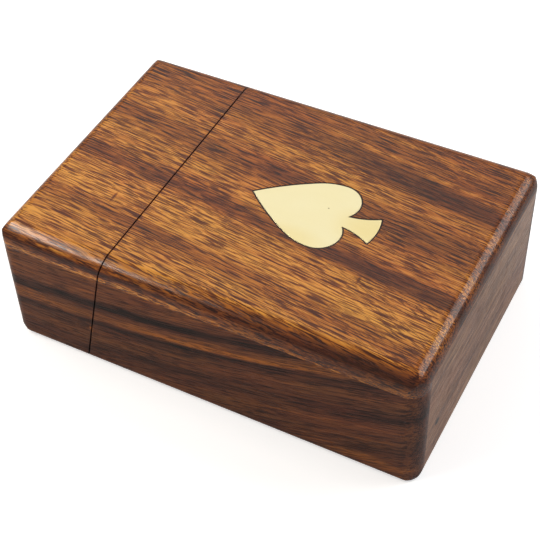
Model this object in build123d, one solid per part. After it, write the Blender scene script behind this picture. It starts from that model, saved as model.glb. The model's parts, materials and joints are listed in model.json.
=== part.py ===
"""Playing card box with a drawer.

Six hardwood boards are glued up round a hollow, sanded round at the edges and sawn through
near one end with a leaning cut.  The long piece is the case.  The short piece is the pull,
which carries a thin tray that slides inside the case.  A brass spade is let into the top
board with a dark line of filler round it.

Frame: X along the length with the pull at -X, Y across the width, Z up, origin at the
middle of the underside.  All sizes are millimetres.
"""
from build123d import *
from math import acos, atan2, cos, hypot, radians, sin, sqrt
import os

# ---- the box outside ----
box_length = 118.0
box_width = 81.0
box_height = 39.6

# ---- the six boards ----
top_thickness = 6.4          # laid over the full length and width
side_thickness = 5.5         # run the full length, under the top board
end_thickness = 8.0          # stand between the sides
bottom_thickness = 6.0       # fills the frame of sides and ends, flush below
end_rebate = 2.8             # how far the ends stand up into the top board

# ---- rounding of the outside edges ----
long_edge_round = 5.0        # the two long edges of the top
pull_top_round = 3.6         # the top edge at the pull's end
case_top_round = 4.3         # the top edge at the case's end
pull_upright_round = 3.2     # the two upright edges at the pull's end
case_upright_round = 4.9     # the two upright edges at the case's end
foot_round = 1.9             # all round the underside

# ---- the leaning saw cut ----
cut_from_pull_end = 31.4     # from the pull's end to the cut, on the top
cut_lean = 12.7              # degrees from upright, its foot nearer the pull's end
cut_width = 0.35             # what the saw blade took away

# ---- the brass spade, tip towards the pull ----
tip_from_pull_end = 53.2
heart_length = 21.5          # from the tip to the widest place
heart_half_width = 11.95
flank_radius = 76.0          # the flank swells a little from the tip on
shoulder_radius = 15.3       # between the flank and the widest place
lobe_radius = 6.1            # the two round lobes behind the widest place
notch_half_width = 1.95      # where the lobes meet the stem
stem_waist = 2.8             # half the stem's width halfway along
foot_half_width = 4.65       # half the stem's width at its foot
foot_bulge = 0.75            # how far the foot's arc stands out past its corners
spade_length = 35.1
spade_thickness = 1.6
filler_width = 0.4

# ---- the tray ----
tray_wall = 2.0
tray_end_wall = 4.0
tray_floor_thickness = 3.2
side_clearance = 0.3         # between the tray and the boards beside it
floor_clearance = 0.3        # between the tray and the bottom board
top_clearance = 0.5          # between the tray and the top board
deep_end_clearance = 1.0     # between the tray and the case's end board
thumb_notch_radius = 12.0    # half-moon in the top edge of each tray side
thumb_notch_rise = 1.0       # centre of the half-moon above the tray's rim

# ---- places that follow from those sizes ----
pull_end_x = -box_length / 2
case_end_x = box_length / 2
half_width = box_width / 2
hollow_start_x = pull_end_x + end_thickness
hollow_end_x = case_end_x - end_thickness
hollow_half_width = half_width - side_thickness
top_underside = box_height - top_thickness

tray_end_x = hollow_end_x - deep_end_clearance
tray_half_width = hollow_half_width - side_clearance
tray_base = bottom_thickness + floor_clearance
tray_floor_top = tray_base + tray_floor_thickness
tray_rim = top_underside - top_clearance


def block(x0, x1, y0, y1, z0, z1):
    """A squared block between two corners."""
    return Pos((x0 + x1) / 2, (y0 + y1) / 2, (z0 + z1) / 2) * Box(x1 - x0, y1 - y0, z1 - z0)


def rounded_outline(x0, x1, y0, y1, radii):
    """A rectangle with its own radius at each corner, from the lower left anticlockwise."""
    outline = Pos((x0 + x1) / 2, (y0 + y1) / 2) * Rectangle(x1 - x0, y1 - y0)
    for corner, radius in zip(((x0, y0), (x1, y0), (x1, y1), (x0, y1)), radii):
        outline = fillet(outline.vertices().sort_by_distance(corner)[0], radius)
    return outline


def rounded_blank():
    """The form that sanding gave all the boards together, its roundings meeting in mitres."""
    uprights = (pull_upright_round, case_upright_round, case_upright_round, pull_upright_round)
    crosswise = (foot_round, foot_round, case_top_round, pull_top_round)
    lengthwise = (foot_round, foot_round, long_edge_round, long_edge_round)
    from_above = rounded_outline(pull_end_x, case_end_x, -half_width, half_width, uprights)
    from_front = rounded_outline(pull_end_x, case_end_x, 0, box_height, crosswise)
    from_end = rounded_outline(-half_width, half_width, 0, box_height, lengthwise)
    blank = extrude(from_above, box_height)
    blank &= extrude(Plane.XZ * from_front, half_width, both=True)
    return blank & extrude(Plane.YZ * from_end, box_length / 2, both=True)


def beside_cut(direction):
    """All the room on one side of the saw cut: +1 is the case's side, -1 is the pull's."""
    lean = radians(cut_lean)
    normal = Vector(cos(lean), 0, -sin(lean))
    on_top = Vector(pull_end_x + cut_from_pull_end, 0, box_height)
    saw_face = Plane(
        origin=on_top + normal * (direction * cut_width / 2),
        x_dir=(0, 1, 0),
        z_dir=normal * direction,
    )
    room = 2 * (box_length + box_width + box_height)
    return extrude(saw_face * Rectangle(room, room), room)


def long_boards():
    """The squared boards that the saw cut goes through."""
    inner = hollow_half_width
    return {
        "top": block(pull_end_x, case_end_x, -half_width, half_width, top_underside, box_height),
        "side_front": block(pull_end_x, case_end_x, -half_width, -inner, 0, top_underside),
        "side_back": block(pull_end_x, case_end_x, inner, half_width, 0, top_underside),
        "bottom": block(hollow_start_x, hollow_end_x, -inner, inner, 0, bottom_thickness),
    }


def end_boards():
    """The squared end boards, between the sides and up into a rebate in the top."""
    inner = hollow_half_width
    upper = top_underside + end_rebate
    return {
        "case": block(hollow_end_x, case_end_x, -inner, inner, 0, upper),
        "pull": block(pull_end_x, hollow_start_x, -inner, inner, 0, upper),
    }


def half_spade():
    """The edge of the spade on one side of its centre line, from the tip to the foot."""
    shoulder_y = heart_half_width - shoulder_radius
    to_shoulder = hypot(heart_length, shoulder_y)
    # the flank's circle runs through the tip and round the shoulder's circle, touching it
    centre_gap = flank_radius - shoulder_radius
    cosine = (flank_radius**2 + to_shoulder**2 - centre_gap**2) / (2 * flank_radius * to_shoulder)
    flank_angle = atan2(shoulder_y, heart_length) - acos(cosine)
    flank_x = flank_radius * cos(flank_angle)
    flank_y = flank_radius * sin(flank_angle)
    stretch = flank_radius / centre_gap
    shoulder = (
        flank_x + (heart_length - flank_x) * stretch,
        flank_y + (shoulder_y - flank_y) * stretch,
    )
    widest = (heart_length, heart_half_width)

    lobe_y = heart_half_width - lobe_radius
    lobe_back = (heart_length + lobe_radius, lobe_y)
    notch_reach = sqrt(lobe_radius**2 - (lobe_y - notch_half_width) ** 2)
    notch = (heart_length + notch_reach, notch_half_width)
    foot_corner = (spade_length - foot_bulge, foot_half_width)
    waist = ((notch[0] + foot_corner[0]) / 2, stem_waist)

    flank = TangentArc((0, 0), shoulder, tangent=(-flank_y, flank_x))
    edge = flank + TangentArc(shoulder, widest, tangent=flank % 1)
    edge += ThreePointArc(widest, lobe_back, notch)
    edge += ThreePointArc(notch, waist, foot_corner)
    return edge, foot_corner


def spade_face():
    """The spade's outline, flat, with its tip at the origin and its stem along X."""
    edge, (foot_x, foot_y) = half_spade()
    foot = ThreePointArc((foot_x, foot_y), (spade_length, 0), (foot_x, -foot_y))
    return make_face(edge + foot + mirror(edge, about=Plane.XZ))


def spade_inlay():
    """The brass plate, its line of filler and the pocket in the top board that holds both."""
    place = Pos(pull_end_x + tip_from_pull_end, 0, box_height - spade_thickness)
    outline = spade_face()
    plate = place * extrude(outline, spade_thickness)
    pocket = place * extrude(offset(outline, amount=filler_width), spade_thickness)
    return plate, pocket - plate, pocket


def tray_pieces():
    """A shallow open tray as long as the hollow, with a thumb notch in each long side."""
    inner = tray_half_width - tray_wall
    middle_x = (hollow_start_x + tray_end_x) / 2
    notch = Pos(middle_x, 0, tray_rim + thumb_notch_rise) * Rot(90, 0, 0)
    notch *= Cylinder(thumb_notch_radius, 2 * box_width)

    def wall(x0, x1, y0, y1):
        return block(x0, x1, y0, y1, tray_floor_top, tray_rim)

    return {
        "tray_floor": block(
            hollow_start_x, tray_end_x, -tray_half_width, tray_half_width, tray_base, tray_floor_top
        ),
        "tray_side_front": wall(hollow_start_x, tray_end_x, -tray_half_width, -inner) - notch,
        "tray_side_back": wall(hollow_start_x, tray_end_x, inner, tray_half_width) - notch,
        "tray_end_pull": wall(hollow_start_x, hollow_start_x + tray_end_wall, -inner, inner),
        "tray_end_deep": wall(tray_end_x - tray_end_wall, tray_end_x, -inner, inner),
    }


def all_pieces():
    """Every separate piece of the box, by name."""
    blank = rounded_blank()
    boards = long_boards()
    pieces = {}
    for owner, board in end_boards().items():
        boards["top"] -= board
        pieces[owner + "_end"] = board & blank
    for name, board in boards.items():
        sanded = board & blank
        pieces["case_" + name] = sanded & beside_cut(1)
        pieces["pull_" + name] = sanded & beside_cut(-1)
    plate, filler, pocket = spade_inlay()
    pieces["case_top"] -= pocket
    pieces["spade_inlay"] = plate
    pieces["inlay_filler"] = filler
    pieces.update(tray_pieces())
    return pieces


os.makedirs("parts", exist_ok=True)
for node, piece in all_pieces().items():
    export_step(piece, "parts/" + node + ".step")
    print(node, len(piece.solids()), round(piece.volume, 1))
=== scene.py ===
# Playing card box with a drawer: how it looks.  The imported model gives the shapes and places;
# this file gives the woods, the brass, the softened edges, the floor, the light and the view.
# Lengths in the property groups and in the patterns are millimetres; meshes are in metres.

import json
from math import cos, radians, sin

import bmesh
import bpy
from mathutils import Matrix, Vector

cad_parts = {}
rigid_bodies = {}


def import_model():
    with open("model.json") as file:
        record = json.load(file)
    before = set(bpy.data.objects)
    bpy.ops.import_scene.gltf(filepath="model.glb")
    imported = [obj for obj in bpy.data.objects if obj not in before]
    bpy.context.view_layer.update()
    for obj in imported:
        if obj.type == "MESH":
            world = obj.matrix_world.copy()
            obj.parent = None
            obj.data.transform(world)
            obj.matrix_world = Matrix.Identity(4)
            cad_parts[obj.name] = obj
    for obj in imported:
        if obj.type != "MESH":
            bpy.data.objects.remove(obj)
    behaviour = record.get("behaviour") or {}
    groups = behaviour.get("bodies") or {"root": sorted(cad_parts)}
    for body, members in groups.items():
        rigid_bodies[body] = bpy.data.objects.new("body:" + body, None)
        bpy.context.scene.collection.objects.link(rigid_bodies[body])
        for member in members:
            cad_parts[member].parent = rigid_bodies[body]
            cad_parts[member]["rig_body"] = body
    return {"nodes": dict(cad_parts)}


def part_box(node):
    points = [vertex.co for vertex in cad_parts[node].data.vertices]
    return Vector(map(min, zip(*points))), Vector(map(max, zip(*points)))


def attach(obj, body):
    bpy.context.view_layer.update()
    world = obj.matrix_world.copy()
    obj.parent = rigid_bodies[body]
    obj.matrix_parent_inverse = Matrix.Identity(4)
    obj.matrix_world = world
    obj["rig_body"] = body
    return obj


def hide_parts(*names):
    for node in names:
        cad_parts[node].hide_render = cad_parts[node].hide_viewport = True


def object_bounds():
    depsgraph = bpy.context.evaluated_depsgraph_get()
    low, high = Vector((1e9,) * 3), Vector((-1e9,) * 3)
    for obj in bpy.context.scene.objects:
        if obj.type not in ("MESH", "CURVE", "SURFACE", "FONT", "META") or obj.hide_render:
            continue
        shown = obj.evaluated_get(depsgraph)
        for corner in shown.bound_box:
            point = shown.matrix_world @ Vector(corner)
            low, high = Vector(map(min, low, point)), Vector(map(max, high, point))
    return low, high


bl_info = {
    "name": "Playing card box",
    "version": (1, 0, 0),
    "blender": (4, 5, 0),
    "location": "View3D > Sidebar > Card box",
    "description": "Finishes a hardwood card box: figured boards, brass spade, tray, studio",
    "category": "Add Mesh",
}

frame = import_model()
cad_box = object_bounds()
MM = 0.001

# each new piece's name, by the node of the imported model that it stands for
TRAY_BOARDS = {
    "tray_floor": "tray_base_board", "tray_side_front": "tray_front_wall",
    "tray_side_back": "tray_back_wall", "tray_end_pull": "tray_pull_wall",
    "tray_end_deep": "tray_deep_wall",
}
OUTER_BOARDS = {
    "case_top": "case_top_board", "pull_top": "pull_top_board",
    "case_side_front": "case_front_board", "pull_side_front": "pull_front_board",
    "case_side_back": "case_back_board", "pull_side_back": "pull_back_board",
}

# corners at the case's end or not, at the top or not: how far the rounding reaches along, across
# and down in mm, and how far it goes from a mitre, 0, to a full ball, 1
CORNERS = {
    (False, True): (3.4, 4.1, 4.3, 0.28), (True, True): (4.6, 4.95, 4.65, 0.5),
    (False, False): (3.2, 3.2, 3.0, 0.8), (True, False): (3.4, 3.4, 2.2, 0.4),
}
CORNER_CUTS = 6              # cuts beside each outer face, which give the corners their points
CORNER_CUT_STEP = 0.9        # from one of those cuts to the next, in mm

SAME_POINT = 0.0005          # vertices nearer to each other than this, in mm, are one
FLAT_ANGLE = radians(0.4)    # faces that turn less than this are one
CREASE_ANGLE = radians(35)   # edges that turn more than this stay crisp in the shading
BEVEL_ANGLE = radians(40)    # edges that turn more than this can be softened

SAW_TOP = (-27.6, 39.6)      # where the saw cut meets the top: along the box and up, in mm
SAW_LEAN = radians(12.7)

# which axes run along a board's grain, across its face and into the board
LYING = (0, 1, 2)
STANDING = (0, 2, 1)
CROSSWISE = (1, 2, 0)

# the lamps: place, aim and size of the lit face in metres, and colour
LAMPS = {
    "key": ((-0.292, -0.17, 0.42), (-0.03, -0.02, 0.04), (0.04, 0.48), "#FFF8EE"),
    "card": ((-0.35, 0.65, 0.75), (0, 0, 0.04), (0.6, 0.6), "#FFFFFF"),
    "rim": ((0.45, 0.42, 0.52), (0.05, 0, 0.03), (0.5, 0.5), "#FFFFFF"),
}
FLOOR_HALF_WIDTH = 3.0       # in metres
FLOOR_GAP = 0.05             # how far the floor lies below the box, in mm
FLOOR_GLOW = 0.5             # lifts the floor to white in the camera's eye alone
CAMERA_AIM = (1.52, -5.98, 19.8)    # the point that the camera looks at, in mm
CAMERA_SHIFT_UP = -0.0046
SENSOR_WIDTH = 36


def linear(hex_colour):
    """The linear red, green and blue of an sRGB colour written as "#C8883F"."""
    channels = [int(hex_colour[i : i + 2], 16) / 255 for i in (1, 3, 5)]
    return [c / 12.92 if c <= 0.04045 else ((c + 0.055) / 1.055) ** 2.4 for c in channels]


# ---------------------------------------------------------------- what a user would change


class CardBoxSizes(bpy.types.PropertyGroup):
    """Sizes of the small details, in millimetres."""

    corner_ease: bpy.props.FloatProperty(
        name="Corner ease", description="How much of the corners' extra rounding is given",
        default=1.0,
    )
    spade_edge: bpy.props.FloatProperty(
        name="Spade edge", description="Softening of the brass plate's upper edge, in mm",
        default=0.12,
    )
    filler_sink: bpy.props.FloatProperty(
        name="Filler sink", description="How far the filler lies below the wood, in mm",
        default=0.08,
    )
    tray_edge: bpy.props.FloatProperty(
        name="Tray edge", description="Softening of the tray's edges, in mm", default=0.3
    )


class CardBoxColours(bpy.types.PropertyGroup):
    """Colours of the plain finishes; the figured woods keep their own tables."""

    brass: bpy.props.FloatVectorProperty(
        name="Brass", description="Colour of the spade", subtype="COLOR", default=linear("#F7ECBF")
    )
    # the filler's dark colour is partly painted shade for the gap round the plate
    filler: bpy.props.FloatVectorProperty(
        name="Filler", description="Colour of the line round the spade", subtype="COLOR",
        default=linear("#1E100A"),
    )
    floor: bpy.props.FloatVectorProperty(
        name="Floor", description="Colour of the floor", subtype="COLOR", default=linear("#F0F0F0")
    )


class CardBoxStudio(bpy.types.PropertyGroup):
    """The light and the view."""

    ambient: bpy.props.FloatProperty(
        name="Ambient", description="Strength of the room's own light", default=0.30
    )
    gloss: bpy.props.FloatProperty(
        name="Gloss", description="How bright the room looks in a polished surface", default=0.40
    )
    key: bpy.props.FloatProperty(
        name="Key lamp", description="Power of the strip lamp over the pull, in watts",
        default=1.5,
    )
    card: bpy.props.FloatProperty(
        name="Card", description="Power of the pale card that the brass mirrors, in watts",
        default=0.8,
    )
    rim: bpy.props.FloatProperty(
        name="Rim lamp", description="Power of the lamp behind the case's end, in watts",
        default=3.2,
    )
    azimuth: bpy.props.FloatProperty(
        name="Azimuth", description="Camera's turn from the front towards the case's end",
        subtype="ANGLE", default=radians(29.017),
    )
    elevation: bpy.props.FloatProperty(
        name="Elevation", description="Camera's height angle", subtype="ANGLE",
        default=radians(46.252),
    )
    roll: bpy.props.FloatProperty(
        name="Roll", description="Camera's turn about its own line of sight", subtype="ANGLE",
        default=radians(-2.249),
    )
    distance: bpy.props.FloatProperty(
        name="Distance", description="From the camera to the point it looks at, in mm",
        default=350.9,
    )
    lens: bpy.props.FloatProperty(
        name="Lens", description="Focal length on a sensor 36 mm wide, in mm", default=87.95
    )


# ---------------------------------------------------------------- nodes


def add_node(tree, kind, sockets=None, out=0, stops=None, points=None, **settings):
    """Adds one node with its settings and links, and returns the output that is wanted."""
    made = tree.nodes.new(kind)
    for name, value in settings.items():
        setattr(made, name, value)
    for key, value in (sockets or {}).items():
        if isinstance(value, bpy.types.NodeSocket):
            tree.links.new(value, made.inputs[key])
        else:
            made.inputs[key].default_value = value
    if stops:
        ramp = made.color_ramp
        ramp.elements[0].position, ramp.elements[-1].position = stops[0][0], stops[-1][0]
        for place, _ in stops[1:-1]:
            ramp.elements.new(place)
        for element, (_, colour) in zip(ramp.elements, stops):
            element.color = (*linear(colour), 1.0)
    if points:
        curve = made.mapping.curves[0]
        curve.points[0].location, curve.points[-1].location = points[0], points[-1]
        for point in points[1:-1]:
            curve.points.new(*point)
        made.mapping.update()
    return made.outputs[out] if made.outputs else None


def calc(tree, operation, *values):
    """The result of one sum on numbers or on other nodes' outputs."""
    return add_node(tree, "ShaderNodeMath", dict(enumerate(values)), operation=operation)


def remap(tree, value, start, end, low=0.0, high=1.0, smooth=False):
    """Goes from low to high as the value goes from start to end, and stays level beyond."""
    return add_node(
        tree, "ShaderNodeMapRange", {0: value, 1: start, 2: end, 3: low, 4: high},
        interpolation_type="SMOOTHSTEP" if smooth else "LINEAR",
    )


def add_swing(tree, field, amount, total):
    """Adds a cloud to a value, centred so that the value goes up as much as down."""
    return calc(tree, "MULTIPLY_ADD", calc(tree, "ADD", field, -0.5), amount, total)


def tinted(tree, colour, share, hex_colour):
    """A colour, given as an output or four numbers, that goes over to another by a share."""
    sockets = {"Fac": share, "Color1": colour, "Color2": (*linear(hex_colour), 1.0)}
    return add_node(tree, "ShaderNodeMixRGB", sockets)


def split(tree, place):
    """The three coordinates of a place."""
    return add_node(tree, "ShaderNodeSeparateXYZ", {0: place}).node.outputs


def new_material(name):
    """An empty material with its shader, ready for sockets and nodes."""
    material = bpy.data.materials.new(name)
    material.use_nodes = True
    tree = material.node_tree
    tree.nodes.clear()
    shader = add_node(tree, "ShaderNodeBsdfPrincipled").node
    add_node(tree, "ShaderNodeOutputMaterial", {"Surface": shader.outputs[0]})
    return material, tree, shader


def set_surface(tree, shader, colour, rough):
    """Gives a shader its colour and its roughness."""
    tree.links.new(colour, shader.inputs["Base Color"])
    tree.links.new(rough, shader.inputs["Roughness"])


def set_relief(tree, shader, height, strength, depth):
    """Gives a shader its fine relief, as deep as that in mm; below zero it is sunk."""
    normal = add_node(
        tree, "ShaderNodeBump", {"Height": height, "Strength": strength, "Distance": depth * MM}
    )
    tree.links.new(normal, shader.inputs["Normal"])


# ---------------------------------------------------------------- patterns


def along_the_grain(tree, order):
    """Millimetres along the grain, across it on the board's face, and into the board."""
    place = add_node(tree, "ShaderNodeTexCoord", out="Object")
    mm = add_node(tree, "ShaderNodeVectorMath", {0: place, "Scale": 1 / MM}, operation="SCALE")
    axes = split(tree, mm)
    return add_node(tree, "ShaderNodeCombineXYZ", {i: axes[axis] for i, axis in enumerate(order)})


def stretched(tree, place, length, width, shift):
    """A place in units of that length along the grain and that width across it."""
    return add_node(
        tree, "ShaderNodeMapping",
        {0: place, "Location": shift, "Scale": (1 / length, 1 / width, 1 / width)},
    )


def cloud(tree, place, length, width, seed, detail=2.0, roughness=0.5):
    """Soft random patches of that length along the grain and width across it, from 0 to 1."""
    place = stretched(tree, place, length, width, (seed, seed * 1.7, seed * 0.6))
    return add_node(
        tree, "ShaderNodeTexNoise",
        {"Vector": place, "Scale": 1.0, "Detail": detail, "Roughness": roughness},
        noise_dimensions="3D",
    )


def push_across(tree, place, amounts):
    """Shifts a place across the grain by the sum of (cloud, millimetres) pairs."""
    total = 0.0
    for field, size in amounts:
        total = add_swing(tree, field, size, total)
    offset = add_node(tree, "ShaderNodeCombineXYZ", {1: total})
    return add_node(tree, "ShaderNodeVectorMath", {0: place, 1: offset}, operation="ADD")


def lean_grain(tree, place, start, slope, bend):
    """Lets the grain climb across the board as it runs along it, by slope and by bend per mm."""
    along, across, into = split(tree, place)
    run = calc(tree, "ADD", along, -start)
    rate = calc(tree, "MULTIPLY_ADD", run, bend, slope)
    across = calc(tree, "MULTIPLY_ADD", run, rate, across)
    return add_node(tree, "ShaderNodeCombineXYZ", {0: along, 1: across, 2: into})


def figure(tree, place, marks, total):
    """Adds long soft marks to a tone: each is (along, across, half length, half width, turn in
    degrees, strength), darker where the strength is above zero."""
    flat = add_node(
        tree, "ShaderNodeVectorMath", {0: place, 1: (1, 1, 0)}, operation="MULTIPLY"
    )
    for along, across, half_length, half_width, turn, strength in marks:
        inside = add_node(
            tree, "ShaderNodeMapping",
            {0: flat, "Location": (along, across, 0), "Rotation": (0, 0, radians(turn)),
             "Scale": (half_length, half_width, 1)},
            vector_type="TEXTURE",
        )
        away = add_node(tree, "ShaderNodeVectorMath", {0: inside}, out=1, operation="LENGTH")
        mark = remap(tree, away, 1.0, 0.15, 0.0, strength, smooth=True)
        total = calc(tree, "ADD", total, mark)
    return total


def pores(tree, place, length, width, seed, share):
    """Open vessels of ring-porous hardwood: thin dark dashes along the grain, dots across it."""
    place = stretched(tree, place, length, width, (seed, seed * 0.7, seed * 1.3))
    cells = add_node(
        tree, "ShaderNodeTexVoronoi", {"Vector": place, "Scale": 1.0}, voronoi_dimensions="3D"
    ).node.outputs
    dash = remap(tree, cells["Distance"], 0.47, 0.36, smooth=True)
    chance = add_node(tree, "ShaderNodeSeparateColor", {0: cells["Color"]})
    return calc(tree, "MULTIPLY", dash, remap(tree, chance, 1 - share, 1.1 - share))


# ---------------------------------------------------------------- wood


def wood_tone(tree, place, seed, bands, span, marks, shades, streaks, hatch):
    """How dark the wood is, from 0 to 1: bands across the board, marks, streaks and lines."""
    across = remap(tree, split(tree, place)[1], *span)
    tone = add_node(tree, "ShaderNodeFloatCurve", {1: across}, points=bands)
    tone = figure(tree, place, marks, tone)
    for shade in shades:
        tone = shade(tree, tone)
    for length, width, amount in streaks:
        field = cloud(tree, place, length, width, seed + width * 10, detail=2.5, roughness=0.6)
        tone = add_swing(tree, field, amount, tone)
    length, width, amount = hatch
    lines = cloud(tree, place, length, width, seed + 14.2, detail=1.0)
    lines = remap(tree, lines, 0.50, 0.60, -0.35 * amount, 0.65 * amount)
    return calc(tree, "ADD", tone, lines)


def board(name, order, seed, tones, bands, span, marks, pore_size, pore_share, pore_colour,
          pore_depth=0.72, lean=(0, 0.0, 0.0), pore_lean=(0, 0.0, 0.0), waver=0.3,
          streaks=((30, 1.3, 0.35), (12, 0.55, 0.4)), hatch=(5.5, 0.5, 0.35),
          roughness=0.3, specular=0.3, relief=0.04, shades=()):
    """One board's wood.

    order: which axes run along the grain, across the face and into the board.
    bands: tone from one side of the board to the other, over span = (from, to) in mm.
    marks: the long soft marks that this board shows, as in figure().
    lean, pore_lean: where the climb of the figure and of the pores starts, its slope and bend.
    streaks: (length, width, strength) of each layer of streaks, coarse to fine.
    hatch: the crisp short lines of the grain; shades: functions that add to the tone."""
    material, tree, shader = new_material(name)
    flat_place = along_the_grain(tree, order)
    leaning = lean_grain(tree, flat_place, *lean)
    place = push_across(
        tree, leaning,
        ((cloud(tree, leaning, 48, 13, seed + 3.1), 7.0 * waver),
         (cloud(tree, leaning, 15, 3.5, seed + 8.7), 2.6 * waver)),
    )
    tone = wood_tone(tree, place, seed, bands, span, marks, shades, streaks, hatch)
    colour = add_node(tree, "ShaderNodeValToRGB", {0: tone}, stops=tones)

    # the hue drifts a little from patch to patch
    hue = remap(tree, cloud(tree, place, 26, 7, seed + 17.0), 0.3, 0.7, 0.496, 0.506)
    colour = add_node(tree, "ShaderNodeHueSaturation", {"Hue": hue, "Color": colour})

    # long pores run with the grain; where it is interlocked, short ones slant across it
    length, width = pore_size
    slanting = lean_grain(tree, flat_place, *pore_lean)
    slanting = push_across(tree, slanting, ((cloud(tree, slanting, 18, 5, seed + 5.5), 2.2),))
    long_pores = pores(tree, place, length * 1.3, width, seed + 1.3, pore_share * 0.7)
    short_pores = pores(tree, slanting, length * 0.7, width, seed + 9.1, pore_share)
    open_grain = calc(tree, "MAXIMUM", long_pores, short_pores)
    crowd = cloud(tree, slanting, 22, 5, seed + 6.6)
    crowd = remap(tree, crowd, 0.35, 0.6, 0.4 * pore_depth, pore_depth)
    colour = tinted(tree, colour, calc(tree, "MULTIPLY", open_grain, crowd), pore_colour)

    # fine fibres and open pores break up the shine
    fine = cloud(tree, flat_place, 5, 0.3, seed + 2.2)
    rough = remap(tree, fine, 0.3, 0.7, roughness - 0.05, roughness + 0.07)
    rough = calc(tree, "MULTIPLY_ADD", open_grain, 0.08, rough)
    set_surface(tree, shader, colour, rough)
    shader.inputs["Specular IOR Level"].default_value = specular
    height = calc(tree, "MULTIPLY_ADD", fine, 0.4, open_grain)
    set_relief(tree, shader, height, 0.6, -relief)
    return material


def front_edge_streaks_and_shade(tree, tone):
    """The maroon and golden streaks on the top board's front edge, under the rounding, with
    painted shade and a painted highlight: the band darker as a whole and towards the case's end,
    and lighter near the pull's corner.
    """
    place = along_the_grain(tree, STANDING)
    place = push_across(tree, place, ((cloud(tree, place, 14, 3, 31.0), 1.2),))
    # (50, 38, ...) is painted shade, darker towards the case's end; (-48, 37.9, ...) is a painted
    # highlight near the pull's corner; the rest are streaks
    marks = (
        (-30, 36.2, 46, 1.2, -1, 0.5), (-34, 34.3, 70, 1.4, 0, -0.35), (50, 38, 80, 4.5, 0, 0.5),
        (-48, 37.9, 20, 1.0, -2, -0.2),
    )
    # the 0.25 is painted shade over the whole band
    shade = figure(tree, place, marks, 0.25)
    shade = add_swing(tree, cloud(tree, place, 36, 0.8, 33.0), 0.7, shade)
    # the streaks, the painted shade and the painted highlight show only where the edge faces the
    # front
    near = remap(tree, split(tree, place)[2], -36.5, -39.6)
    return calc(tree, "MULTIPLY_ADD", shade, near, tone)


def front_foot_streak(tree, tone):
    """The lighter, level strip along the foot of the front board, warmest at the case's end."""
    place = along_the_grain(tree, STANDING)
    return figure(tree, place, ((44, 4.2, 34, 3.0, 0, -0.22), (-30, 3.0, 50, 2.4, 0, -0.06)), tone)


def end_grain(depth):
    """End grain drinks more wax: a shade that darkens the board where the rounding cuts it."""

    def shade(tree, tone):
        out = calc(tree, "ABSOLUTE", split(tree, along_the_grain(tree, LYING))[0])
        return calc(tree, "ADD", tone, remap(tree, out, 57.0, 58.8, 0.0, depth))

    return shade


def painted_saw_gap_shade(tree, tone):
    """Painted shade: darkens the two edges of the saw cut, as the narrow gap between case and pull
    lies in shade.
    """
    place = along_the_grain(tree, LYING)
    across = add_node(
        tree, "ShaderNodeVectorMath", {0: place, 1: (cos(SAW_LEAN), 0, -sin(SAW_LEAN))},
        out=1, operation="DOT_PRODUCT",
    )
    middle = SAW_TOP[0] * cos(SAW_LEAN) - SAW_TOP[1] * sin(SAW_LEAN)
    away = calc(tree, "ABSOLUTE", calc(tree, "SUBTRACT", across, middle))
    return calc(tree, "ADD", tone, remap(tree, away, 0.35, 0.18, 0.0, 0.3))


# ---------------------------------------------------------------- materials

# colours from the palest wood, 0, to the darkest, 1
GOLDEN_TONES = (
    (0.0, "#D8913E"), (0.27, "#AC6323"), (0.5, "#7F441B"), (0.75, "#5E2F17"), (1.0, "#33180E"),
)
DARK_TONES = (
    (0.0, "#A45F2C"), (0.3, "#74442A"), (0.6, "#522E22"), (0.85, "#321C17"), (1.0, "#1B110E"),
)
END_TONES = ((0.0, "#B48B6C"), (0.4, "#8A634C"), (0.8, "#5E4034"), (1.0, "#221612"))
TRAY_TONES = ((0.0, "#B5834F"), (0.5, "#93613A"), (1.0, "#6B4329"))

# what the front, the back and the bottom have in common: the same dark heartwood
HEARTWOOD = {
    "tones": DARK_TONES, "pore_size": (5.0, 0.45), "pore_share": 0.5, "pore_depth": 0.6,
    "pore_colour": "#1E1210", "streaks": ((26, 1.3, 0.5), (9, 0.45, 0.5)),
    "hatch": (9, 0.45, 0.28), "specular": 0.12, "relief": 0.03,
}


def top_material():
    """Sheesham, flat sawn: gold and dark brown bands that lean across the board, short pores."""
    return board(
        "sheesham_flat_sawn_waxed", LYING, 1.0, GOLDEN_TONES,
        bands=(
            (0.0, 0.50), (0.064, 0.33), (0.17, 0.32), (0.229, 0.49), (0.271, 0.28), (0.351, 0.28),
            (0.394, 0.42), (0.421, 0.70), (0.452, 0.45), (0.50, 0.33), (0.553, 0.42),
            (0.606, 0.58), (0.649, 0.42), (0.691, 0.34), (0.734, 0.46), (0.787, 0.54), (1.0, 0.54),
        ),
        span=(-42, 52),
        marks=(
            (34, 30.3, 42, 5.5, -3, 0.36), (0, 15.5, 14, 4.5, 0, 0.18),
            # (52, 20, 50, 60, 0, 0.06) is painted shade: the top a little darker towards the
            # case's end and the back
            (34, -2.6, 32, 4.5, 0, 0.20), (-50, -14, 18, 6, 0, -0.12), (52, 20, 50, 60, 0, 0.06),
            (36, 42.3, 40, 1.8, -2, -0.22), (46, 35, 24, 1.8, -2, -0.18),
            (18, 36.8, 30, 1.6, -2, -0.18), (-25, -20.7, 20, 2.4, 0, 0.16),
            (-46, -30, 40, 2.0, 1, -0.10), (30, -15, 40, 3.0, 1, -0.10),
            (-37.5, -15.4, 0.6, 3.0, 0, 0.5), (32, -7, 0.6, 2.2, 0, 0.35),
            (38, 10.5, 16, 6, 0, 0.12),
        ),
        pore_size=(6, 0.38), pore_share=0.9, pore_colour="#4A2010", pore_depth=0.78,
        lean=(-59, 0.11, 0.0), pore_lean=(-59, 0.05, 0.0014), waver=0.2,
        streaks=((34, 1.5, 0.4), (14, 0.55, 0.65)), hatch=(8, 0.36, 0.62),
        roughness=0.17, specular=0.32, relief=0.005,
        shades=(front_edge_streaks_and_shade, end_grain(0.5), painted_saw_gap_shade),
    )


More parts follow.
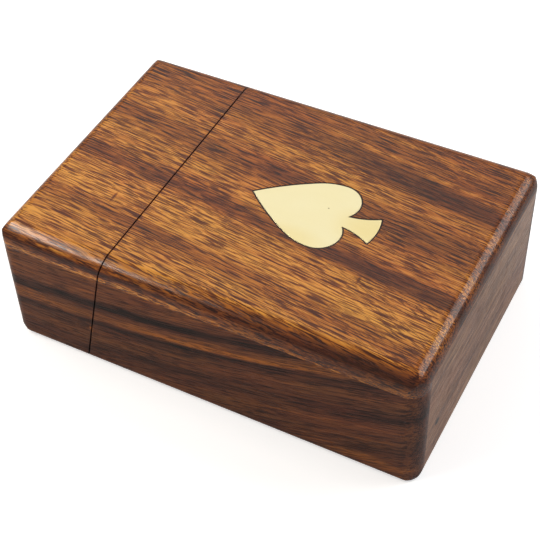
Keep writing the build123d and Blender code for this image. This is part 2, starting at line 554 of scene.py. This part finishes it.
def front_material():
    """Sheesham heartwood, the front board: purple brown with near-black streaks that climb."""
    return board(
        "sheesham_heartwood_front_waxed", STANDING, 21.0,
        bands=(
            (0.0, 0.55), (0.12, 0.5), (0.25, 0.6), (0.36, 0.48), (0.47, 0.62), (0.57, 0.45),
            (0.652, 0.72), (0.688, 0.30), (0.74, 0.5), (0.778, 0.82), (0.83, 0.42), (1.0, 0.36),
        ),
        span=(-22, 34),
        marks=(
            (2, 16.5, 34, 1.3, 0, -0.42), (-16, 21.6, 48, 1.6, 0, 0.18),
            (-8, 14.6, 44, 1.2, 0, 0.18), (-50, 18, 14, 3.0, 0, -0.08),
            (-14, 4.5, 18, 2.0, 0, 0.15), (40, -6, 24, 1.2, 0, -0.22), (36, -1, 24, 1.0, 0, -0.18),
            (44, -11, 24, 1.4, 0, 0.15), (50, 3, 24, 3.0, 0, 0.15),
            (-33.7, 11.8, 0.9, 0.7, 0, -0.9), (-33.7, 10.5, 0.7, 0.6, 0, -0.7),
        ),
        lean=(-59, -0.025, -0.0014), pore_lean=(-59, -0.025, -0.0014), waver=0.25,
        shades=(front_foot_streak, end_grain(0.16), painted_saw_gap_shade), **HEARTWOOD,
    )


def back_material():
    """Sheesham heartwood, the back and bottom boards: the same wood with its own streaks."""
    return board(
        "sheesham_heartwood_back_waxed", STANDING, 47.0,
        bands=((0.0, 0.5), (0.3, 0.42), (0.6, 0.55), (1.0, 0.45)), span=(0, 34),
        marks=(
            (-20, 12, 36, 2.2, -5, 0.5), (18, 20, 32, 2.0, -7, 0.5), (5, 26, 42, 1.8, -4, -0.4),
            (-35, 23, 22, 1.8, -5, 0.35), (35, 9, 26, 2.2, -8, -0.25),
        ),
        pore_lean=(-59, -0.05, 0.0), shades=(end_grain(0.16), painted_saw_gap_shade), **HEARTWOOD,
    )


def end_material():
    """Sheesham, grain across the box: dull grey brown with faint level streaks."""
    return board(
        "sheesham_cross_board_waxed", CROSSWISE, 73.0, END_TONES,
        bands=((0.0, 0.4), (0.5, 0.5), (1.0, 0.45)), span=(0, 36),
        marks=(
            (-28.2, 12.3, 2.0, 1.3, -30, 0.9), (-28, 29.8, 16, 1.3, -2, 0.35),
            (-18, 12.8, 26, 1.6, -3, 0.25), (14, 9.6, 34, 1.4, 0, 0.2),
            (-22, 20, 22, 4, -3, -0.12), (0, 34.6, 60, 1.5, 0, 0.15),
        ),
        pore_size=(5.0, 0.5), pore_share=0.35, pore_colour="#3A261E", pore_depth=0.4,
        streaks=((30, 1.6, 0.9), (12, 0.7, 0.8), (5, 0.4, 0.6)), hatch=(9, 0.7, 0.15),
        specular=0.12, relief=0.02,
    )


def tray_material():
    """Sheesham, thin boards sanded and left unpolished: paler, dry and even."""
    return board(
        "sheesham_thin_sanded", LYING, 95.0, TRAY_TONES,
        bands=((0.0, 0.4), (0.3, 0.5), (0.6, 0.35), (1.0, 0.5)), span=(-41, 41),
        marks=((-10, 5, 50, 5, 3, 0.2), (10, -14, 40, 3, 2, 0.25)),
        pore_size=(5.0, 0.55), pore_share=0.5, pore_colour="#4C2C1C",
        lean=(0, 0.03, 0.0), pore_lean=(0, 0.03, 0.0), waver=0.6, roughness=0.6,
    )


def brass_material(colour):
    """Sheet brass, sanded flush and polished: pale yellow with a soft even gleam."""
    material, tree, shader = new_material("brass_sheet_polished")
    shader.inputs["Metallic"].default_value = 1.0
    place = along_the_grain(tree, LYING)

    # a warmer tint at the stem and the lower lobe, and one dark speck
    tint = figure(tree, place, ((27, 0, 12, 9, 0, 0.55), (10, -11, 14, 6, 0, 0.4)), 0.0)
    tint = calc(tree, "MULTIPLY_ADD", cloud(tree, place, 12, 9, 4.0), 0.3, tint)
    shade = tinted(tree, (*colour, 1.0), tint, "#F2DC96")
    speck = figure(tree, place, ((14.6, 2.6, 0.4, 0.3, -30, 0.7),), 0.0)
    shade = tinted(tree, shade, speck, "#5C4A24")

    # hairlines of the last polish, real ones are finer: drawn 0.4 mm wide to show at all
    hairlines = cloud(tree, place, 14, 0.4, 6.0)
    set_surface(tree, shader, shade, remap(tree, hairlines, 0.3, 0.7, 0.29, 0.33))
    set_relief(tree, shader, hairlines, 0.1, 0.004)
    return material


def filler_material(colour):
    """Wood dust in hard glue, scraped flush: a dark matt line with a fine grit; its darkness is
    partly painted shade, standing in for the shadow in the thin gap round the plate.
    """
    material, tree, shader = new_material("filler_scraped")
    grit = cloud(tree, along_the_grain(tree, LYING), 0.3, 0.3, 2.0)
    shade = tinted(tree, (*colour, 1.0), grit, "#38201A")
    set_surface(tree, shader, shade, remap(tree, grit, 0.3, 0.7, 0.6, 0.75))
    return material


# ---------------------------------------------------------------- shapes


def dress(names, material):
    """Gives CAD boards a better finish and leaves their shape alone."""
    for name in names:
        mesh = frame["nodes"][name].data
        for i in range(len(mesh.materials)):
            mesh.materials[i] = material


def whole_copy(node):
    """A CAD piece's shape with its loose triangles joined and its flat faces made whole."""
    bm = bmesh.new()
    bm.from_mesh(frame["nodes"][node].data)
    bmesh.ops.remove_doubles(bm, verts=bm.verts, dist=SAME_POINT * MM)
    bmesh.ops.dissolve_limit(
        bm, angle_limit=FLAT_ANGLE, verts=bm.verts, edges=bm.edges, use_dissolve_boundaries=False
    )
    bmesh.ops.recalc_face_normals(bm, faces=bm.faces)
    return bm


def soften(bm, width, wanted):
    """Rounds the sharp edges that are wanted, by a width in mm."""
    sharp = [
        edge for edge in bm.edges
        if edge.is_manifold and edge.calc_face_angle() > BEVEL_ANGLE and wanted(edge)
    ]
    if not sharp:
        raise RuntimeError("no sharp edge was found to soften")
    bmesh.ops.bevel(
        bm, geom=sharp, offset=width * MM, offset_type="OFFSET", segments=2, profile=0.5,
        affect="EDGES", clamp_overlap=True, material=-1,
    )


def ease_corners(bm, share):
    """Rounds the box's corners further, where the sanded edges meet: draws the points there in
    towards an egg's surface, the less so the nearer they lie to the plain edges."""
    low, high = cad_box
    for axis in range(3):
        normal = Vector((axis == 0, axis == 1, axis == 2))
        for step in range(1, CORNER_CUTS + 1):
            inset = step * CORNER_CUT_STEP * MM
            for level in (low[axis] + inset, high[axis] - inset):
                bmesh.ops.bisect_plane(
                    bm, geom=[*bm.verts, *bm.edges, *bm.faces], dist=0.01 * MM,
                    plane_co=normal * level, plane_no=normal,
                )
    middle = (low + high) / 2
    for vert in bm.verts:
        upper = [vert.co[axis] > middle[axis] for axis in range(3)]
        *radii, ease = CORNERS[upper[0], upper[2]]
        # 0 on the inner side of the corner's room, 1 on the box's outer face, along each axis
        reach = []
        for axis in range(3):
            face = high[axis] if upper[axis] else low[axis]
            reach.append(1 - abs(face - vert.co[axis]) / (radii[axis] * MM))
        outside = Vector(reach).length
        if min(reach) <= 0 or outside <= 1:
            continue
        weight = min(1.0, 2 * min(reach))
        pull = share * ease * weight * weight * (3 - 2 * weight) * (1 - 1 / outside)
        for axis in range(3):
            inwards = -1 if upper[axis] else 1
            vert.co[axis] += inwards * reach[axis] * radii[axis] * MM * pull


def new_piece(name, bm, material, node):
    """Makes a bmesh the piece that stands for a CAD node, smooth with its sharp edges kept."""
    for face in bm.faces:
        face.smooth = True
        face.material_index = 0
    for edge in bm.edges:
        edge.smooth = edge.calc_face_angle(0.0) < CREASE_ANGLE
    mesh = bpy.data.meshes.new(name)
    bm.to_mesh(mesh)
    bm.free()
    mesh.materials.append(material)
    piece = bpy.data.objects.new(name, mesh)
    bpy.context.scene.collection.objects.link(piece)
    flat = piece.modifiers.new("flat_faces", "WEIGHTED_NORMAL")
    flat.keep_sharp = True
    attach(piece, frame["nodes"][node]["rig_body"])
    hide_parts(node)


# ---------------------------------------------------------------- studio


def lay_floor(scene, colour):
    """A plain pale floor, white to the camera where no shadow lies."""
    bm = bmesh.new()
    bmesh.ops.create_grid(bm, x_segments=1, y_segments=1, size=FLOOR_HALF_WIDTH)
    bmesh.ops.translate(bm, verts=bm.verts, vec=(0, 0, -FLOOR_GAP * MM))
    mesh = bpy.data.meshes.new("floor")
    bm.to_mesh(mesh)
    bm.free()
    floor = bpy.data.objects.new("floor", mesh)
    scene.collection.objects.link(floor)
    material, tree, shader = new_material("paper_backdrop")
    shader.inputs["Base Color"].default_value = (*colour, 1.0)
    shader.inputs["Roughness"].default_value = 0.9
    shader.inputs["Specular IOR Level"].default_value = 0.1
    rays = add_node(tree, "ShaderNodeLightPath").node.outputs
    glow = calc(tree, "MULTIPLY", rays["Is Camera Ray"], FLOOR_GLOW)
    shader.inputs["Emission Color"].default_value = (1, 1, 1, 1)
    tree.links.new(glow, shader.inputs["Emission Strength"])
    mesh.materials.append(material)


def light_room(scene, studio):
    """The room: even light, white where the camera sees it and toned down in a gloss."""
    world = bpy.data.worlds.new("studio")
    scene.world = world
    world.use_nodes = True
    tree = world.node_tree
    tree.nodes.clear()
    rays = add_node(tree, "ShaderNodeLightPath").node.outputs
    mirrored = calc(tree, "MAXIMUM", rays["Is Glossy Ray"], rays["Is Transmission Ray"])
    strength = remap(tree, mirrored, 0.0, 1.0, studio.ambient, studio.gloss)
    strength = calc(tree, "MAXIMUM", rays["Is Camera Ray"], strength)
    light = add_node(
        tree, "ShaderNodeBackground", {"Color": (1, 1, 1, 1), "Strength": strength}
    )
    add_node(tree, "ShaderNodeOutputWorld", {"Surface": light})


def add_lamp(scene, name, power, place, aim, sizes, colour):
    """A soft lamp that points at a place, long along the box's width; metres and watts."""
    light = bpy.data.lights.new(name, "AREA")
    light.shape, light.energy = "RECTANGLE", power
    light.size, light.size_y = sizes
    light.color = linear(colour)
    lamp = bpy.data.objects.new(name, light)
    scene.collection.objects.link(lamp)
    back = (Vector(place) - Vector(aim)).normalized()
    along = Vector((0, 1, 0)).cross(back).normalized()
    turned = Matrix((along, back.cross(along), back)).transposed().to_4x4()
    lamp.matrix_world = Matrix.Translation(place) @ turned


def place_camera(scene, studio):
    """The photograph's own view."""
    az, el, roll = studio.azimuth, studio.elevation, studio.roll
    back = Vector((sin(az) * cos(el), -cos(az) * cos(el), sin(el)))
    level = Vector((0, 0, 1)).cross(back).normalized()
    up = back.cross(level)
    right = level * cos(roll) + up * sin(roll)
    up = up * cos(roll) - level * sin(roll)
    camera = bpy.data.cameras.new("camera")
    camera.lens, camera.sensor_width = studio.lens, SENSOR_WIDTH
    camera.shift_y = CAMERA_SHIFT_UP
    camera.clip_start = 0.01
    view = bpy.data.objects.new("camera", camera)
    scene.collection.objects.link(view)
    turned = Matrix((right, up, back)).transposed().to_4x4()
    aim = Vector(CAMERA_AIM) * MM
    view.matrix_world = Matrix.Translation(aim + back * studio.distance * MM) @ turned
    scene.camera = view


# ---------------------------------------------------------------- operators


class CARDBOX_OT_case(bpy.types.Operator):
    """Finish the boards of the case and the pull"""

    bl_idname = "cardbox.case"
    bl_label = "Case boards"

    def execute(self, context):
        woods = {"top": top_material(), "front": front_material(), "back": back_material()}
        dress(["case_bottom", "pull_bottom"], woods["back"])
        dress(["case_end", "pull_end"], end_material())
        for node, name in OUTER_BOARDS.items():
            board_copy = whole_copy(node)
            ease_corners(board_copy, context.scene.card_box_sizes.corner_ease)
            face = name.split("_")[1]
            new_piece(name, board_copy, woods[face], node)
        return {"FINISHED"}


class CARDBOX_OT_spade(bpy.types.Operator):
    """Finish the brass spade and the filler round it"""

    bl_idname = "cardbox.spade"
    bl_label = "Brass spade"

    def execute(self, context):
        scene = context.scene
        sizes, colours = scene.card_box_sizes, scene.card_box_colours
        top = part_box("spade_inlay")[1].z - 0.01 * MM

        # the plate, its upper edge eased by the last sanding
        plate = whole_copy("spade_inlay")
        soften(plate, sizes.spade_edge, lambda edge: all(v.co.z > top for v in edge.verts))
        new_piece(
            "brass_spade", plate, brass_material(colours.brass), "spade_inlay"
        )

        # the filler, shrunk a little below the wood as it dried
        line = whole_copy("inlay_filler")
        upper = [v for v in line.verts if v.co.z > top]
        bmesh.ops.translate(line, verts=upper, vec=(0, 0, -sizes.filler_sink * MM))
        new_piece(
            "spade_filler", line, filler_material(colours.filler), "inlay_filler"
        )
        return {"FINISHED"}


class CARDBOX_OT_tray(bpy.types.Operator):
    """Finish the boards of the tray"""

    bl_idname = "cardbox.tray"
    bl_label = "Tray"

    def execute(self, context):
        material, width = tray_material(), context.scene.card_box_sizes.tray_edge
        for node, name in TRAY_BOARDS.items():
            wall = whole_copy(node)
            soften(wall, width, lambda edge: True)
            new_piece(name, wall, material, node)
        return {"FINISHED"}


class CARDBOX_OT_stage(bpy.types.Operator):
    """Set the floor, the lamps and the camera"""

    bl_idname = "cardbox.stage"
    bl_label = "Studio"

    def execute(self, context):
        scene = context.scene
        studio = scene.card_box_studio
        lay_floor(scene, scene.card_box_colours.floor)
        light_room(scene, studio)
        for name, lamp in LAMPS.items():
            add_lamp(scene, name, getattr(studio, name), *lamp)
        place_camera(scene, studio)
        scene.view_settings.view_transform = "Standard"
        return {"FINISHED"}


class CARDBOX_PT_panel(bpy.types.Panel):
    """The sidebar's list of steps"""

    bl_label = "Card box"
    bl_space_type = "VIEW_3D"
    bl_region_type = "UI"
    bl_category = "Card box"

    def draw(self, context):
        for step in STEPS:
            self.layout.operator(step.bl_idname)
        for group in GROUPS:
            settings = getattr(context.scene, group)
            for name in settings.__annotations__:
                self.layout.prop(settings, name)


GROUPS = {
    "card_box_sizes": CardBoxSizes, "card_box_colours": CardBoxColours,
    "card_box_studio": CardBoxStudio,
}
STEPS = (CARDBOX_OT_case, CARDBOX_OT_spade, CARDBOX_OT_tray, CARDBOX_OT_stage)
CLASSES = (*GROUPS.values(), *STEPS, CARDBOX_PT_panel)


def register():
    for made in CLASSES:
        bpy.utils.register_class(made)
    for name, group in GROUPS.items():
        setattr(bpy.types.Scene, name, bpy.props.PointerProperty(type=group))


def unregister():
    for name in GROUPS:
        delattr(bpy.types.Scene, name)
    for made in reversed(CLASSES):
        bpy.utils.unregister_class(made)


def main():
    register()
    bpy.ops.cardbox.case()
    bpy.ops.cardbox.spade()
    bpy.ops.cardbox.tray()
    bpy.ops.cardbox.stage()


if __name__ == "__main__":
    main()
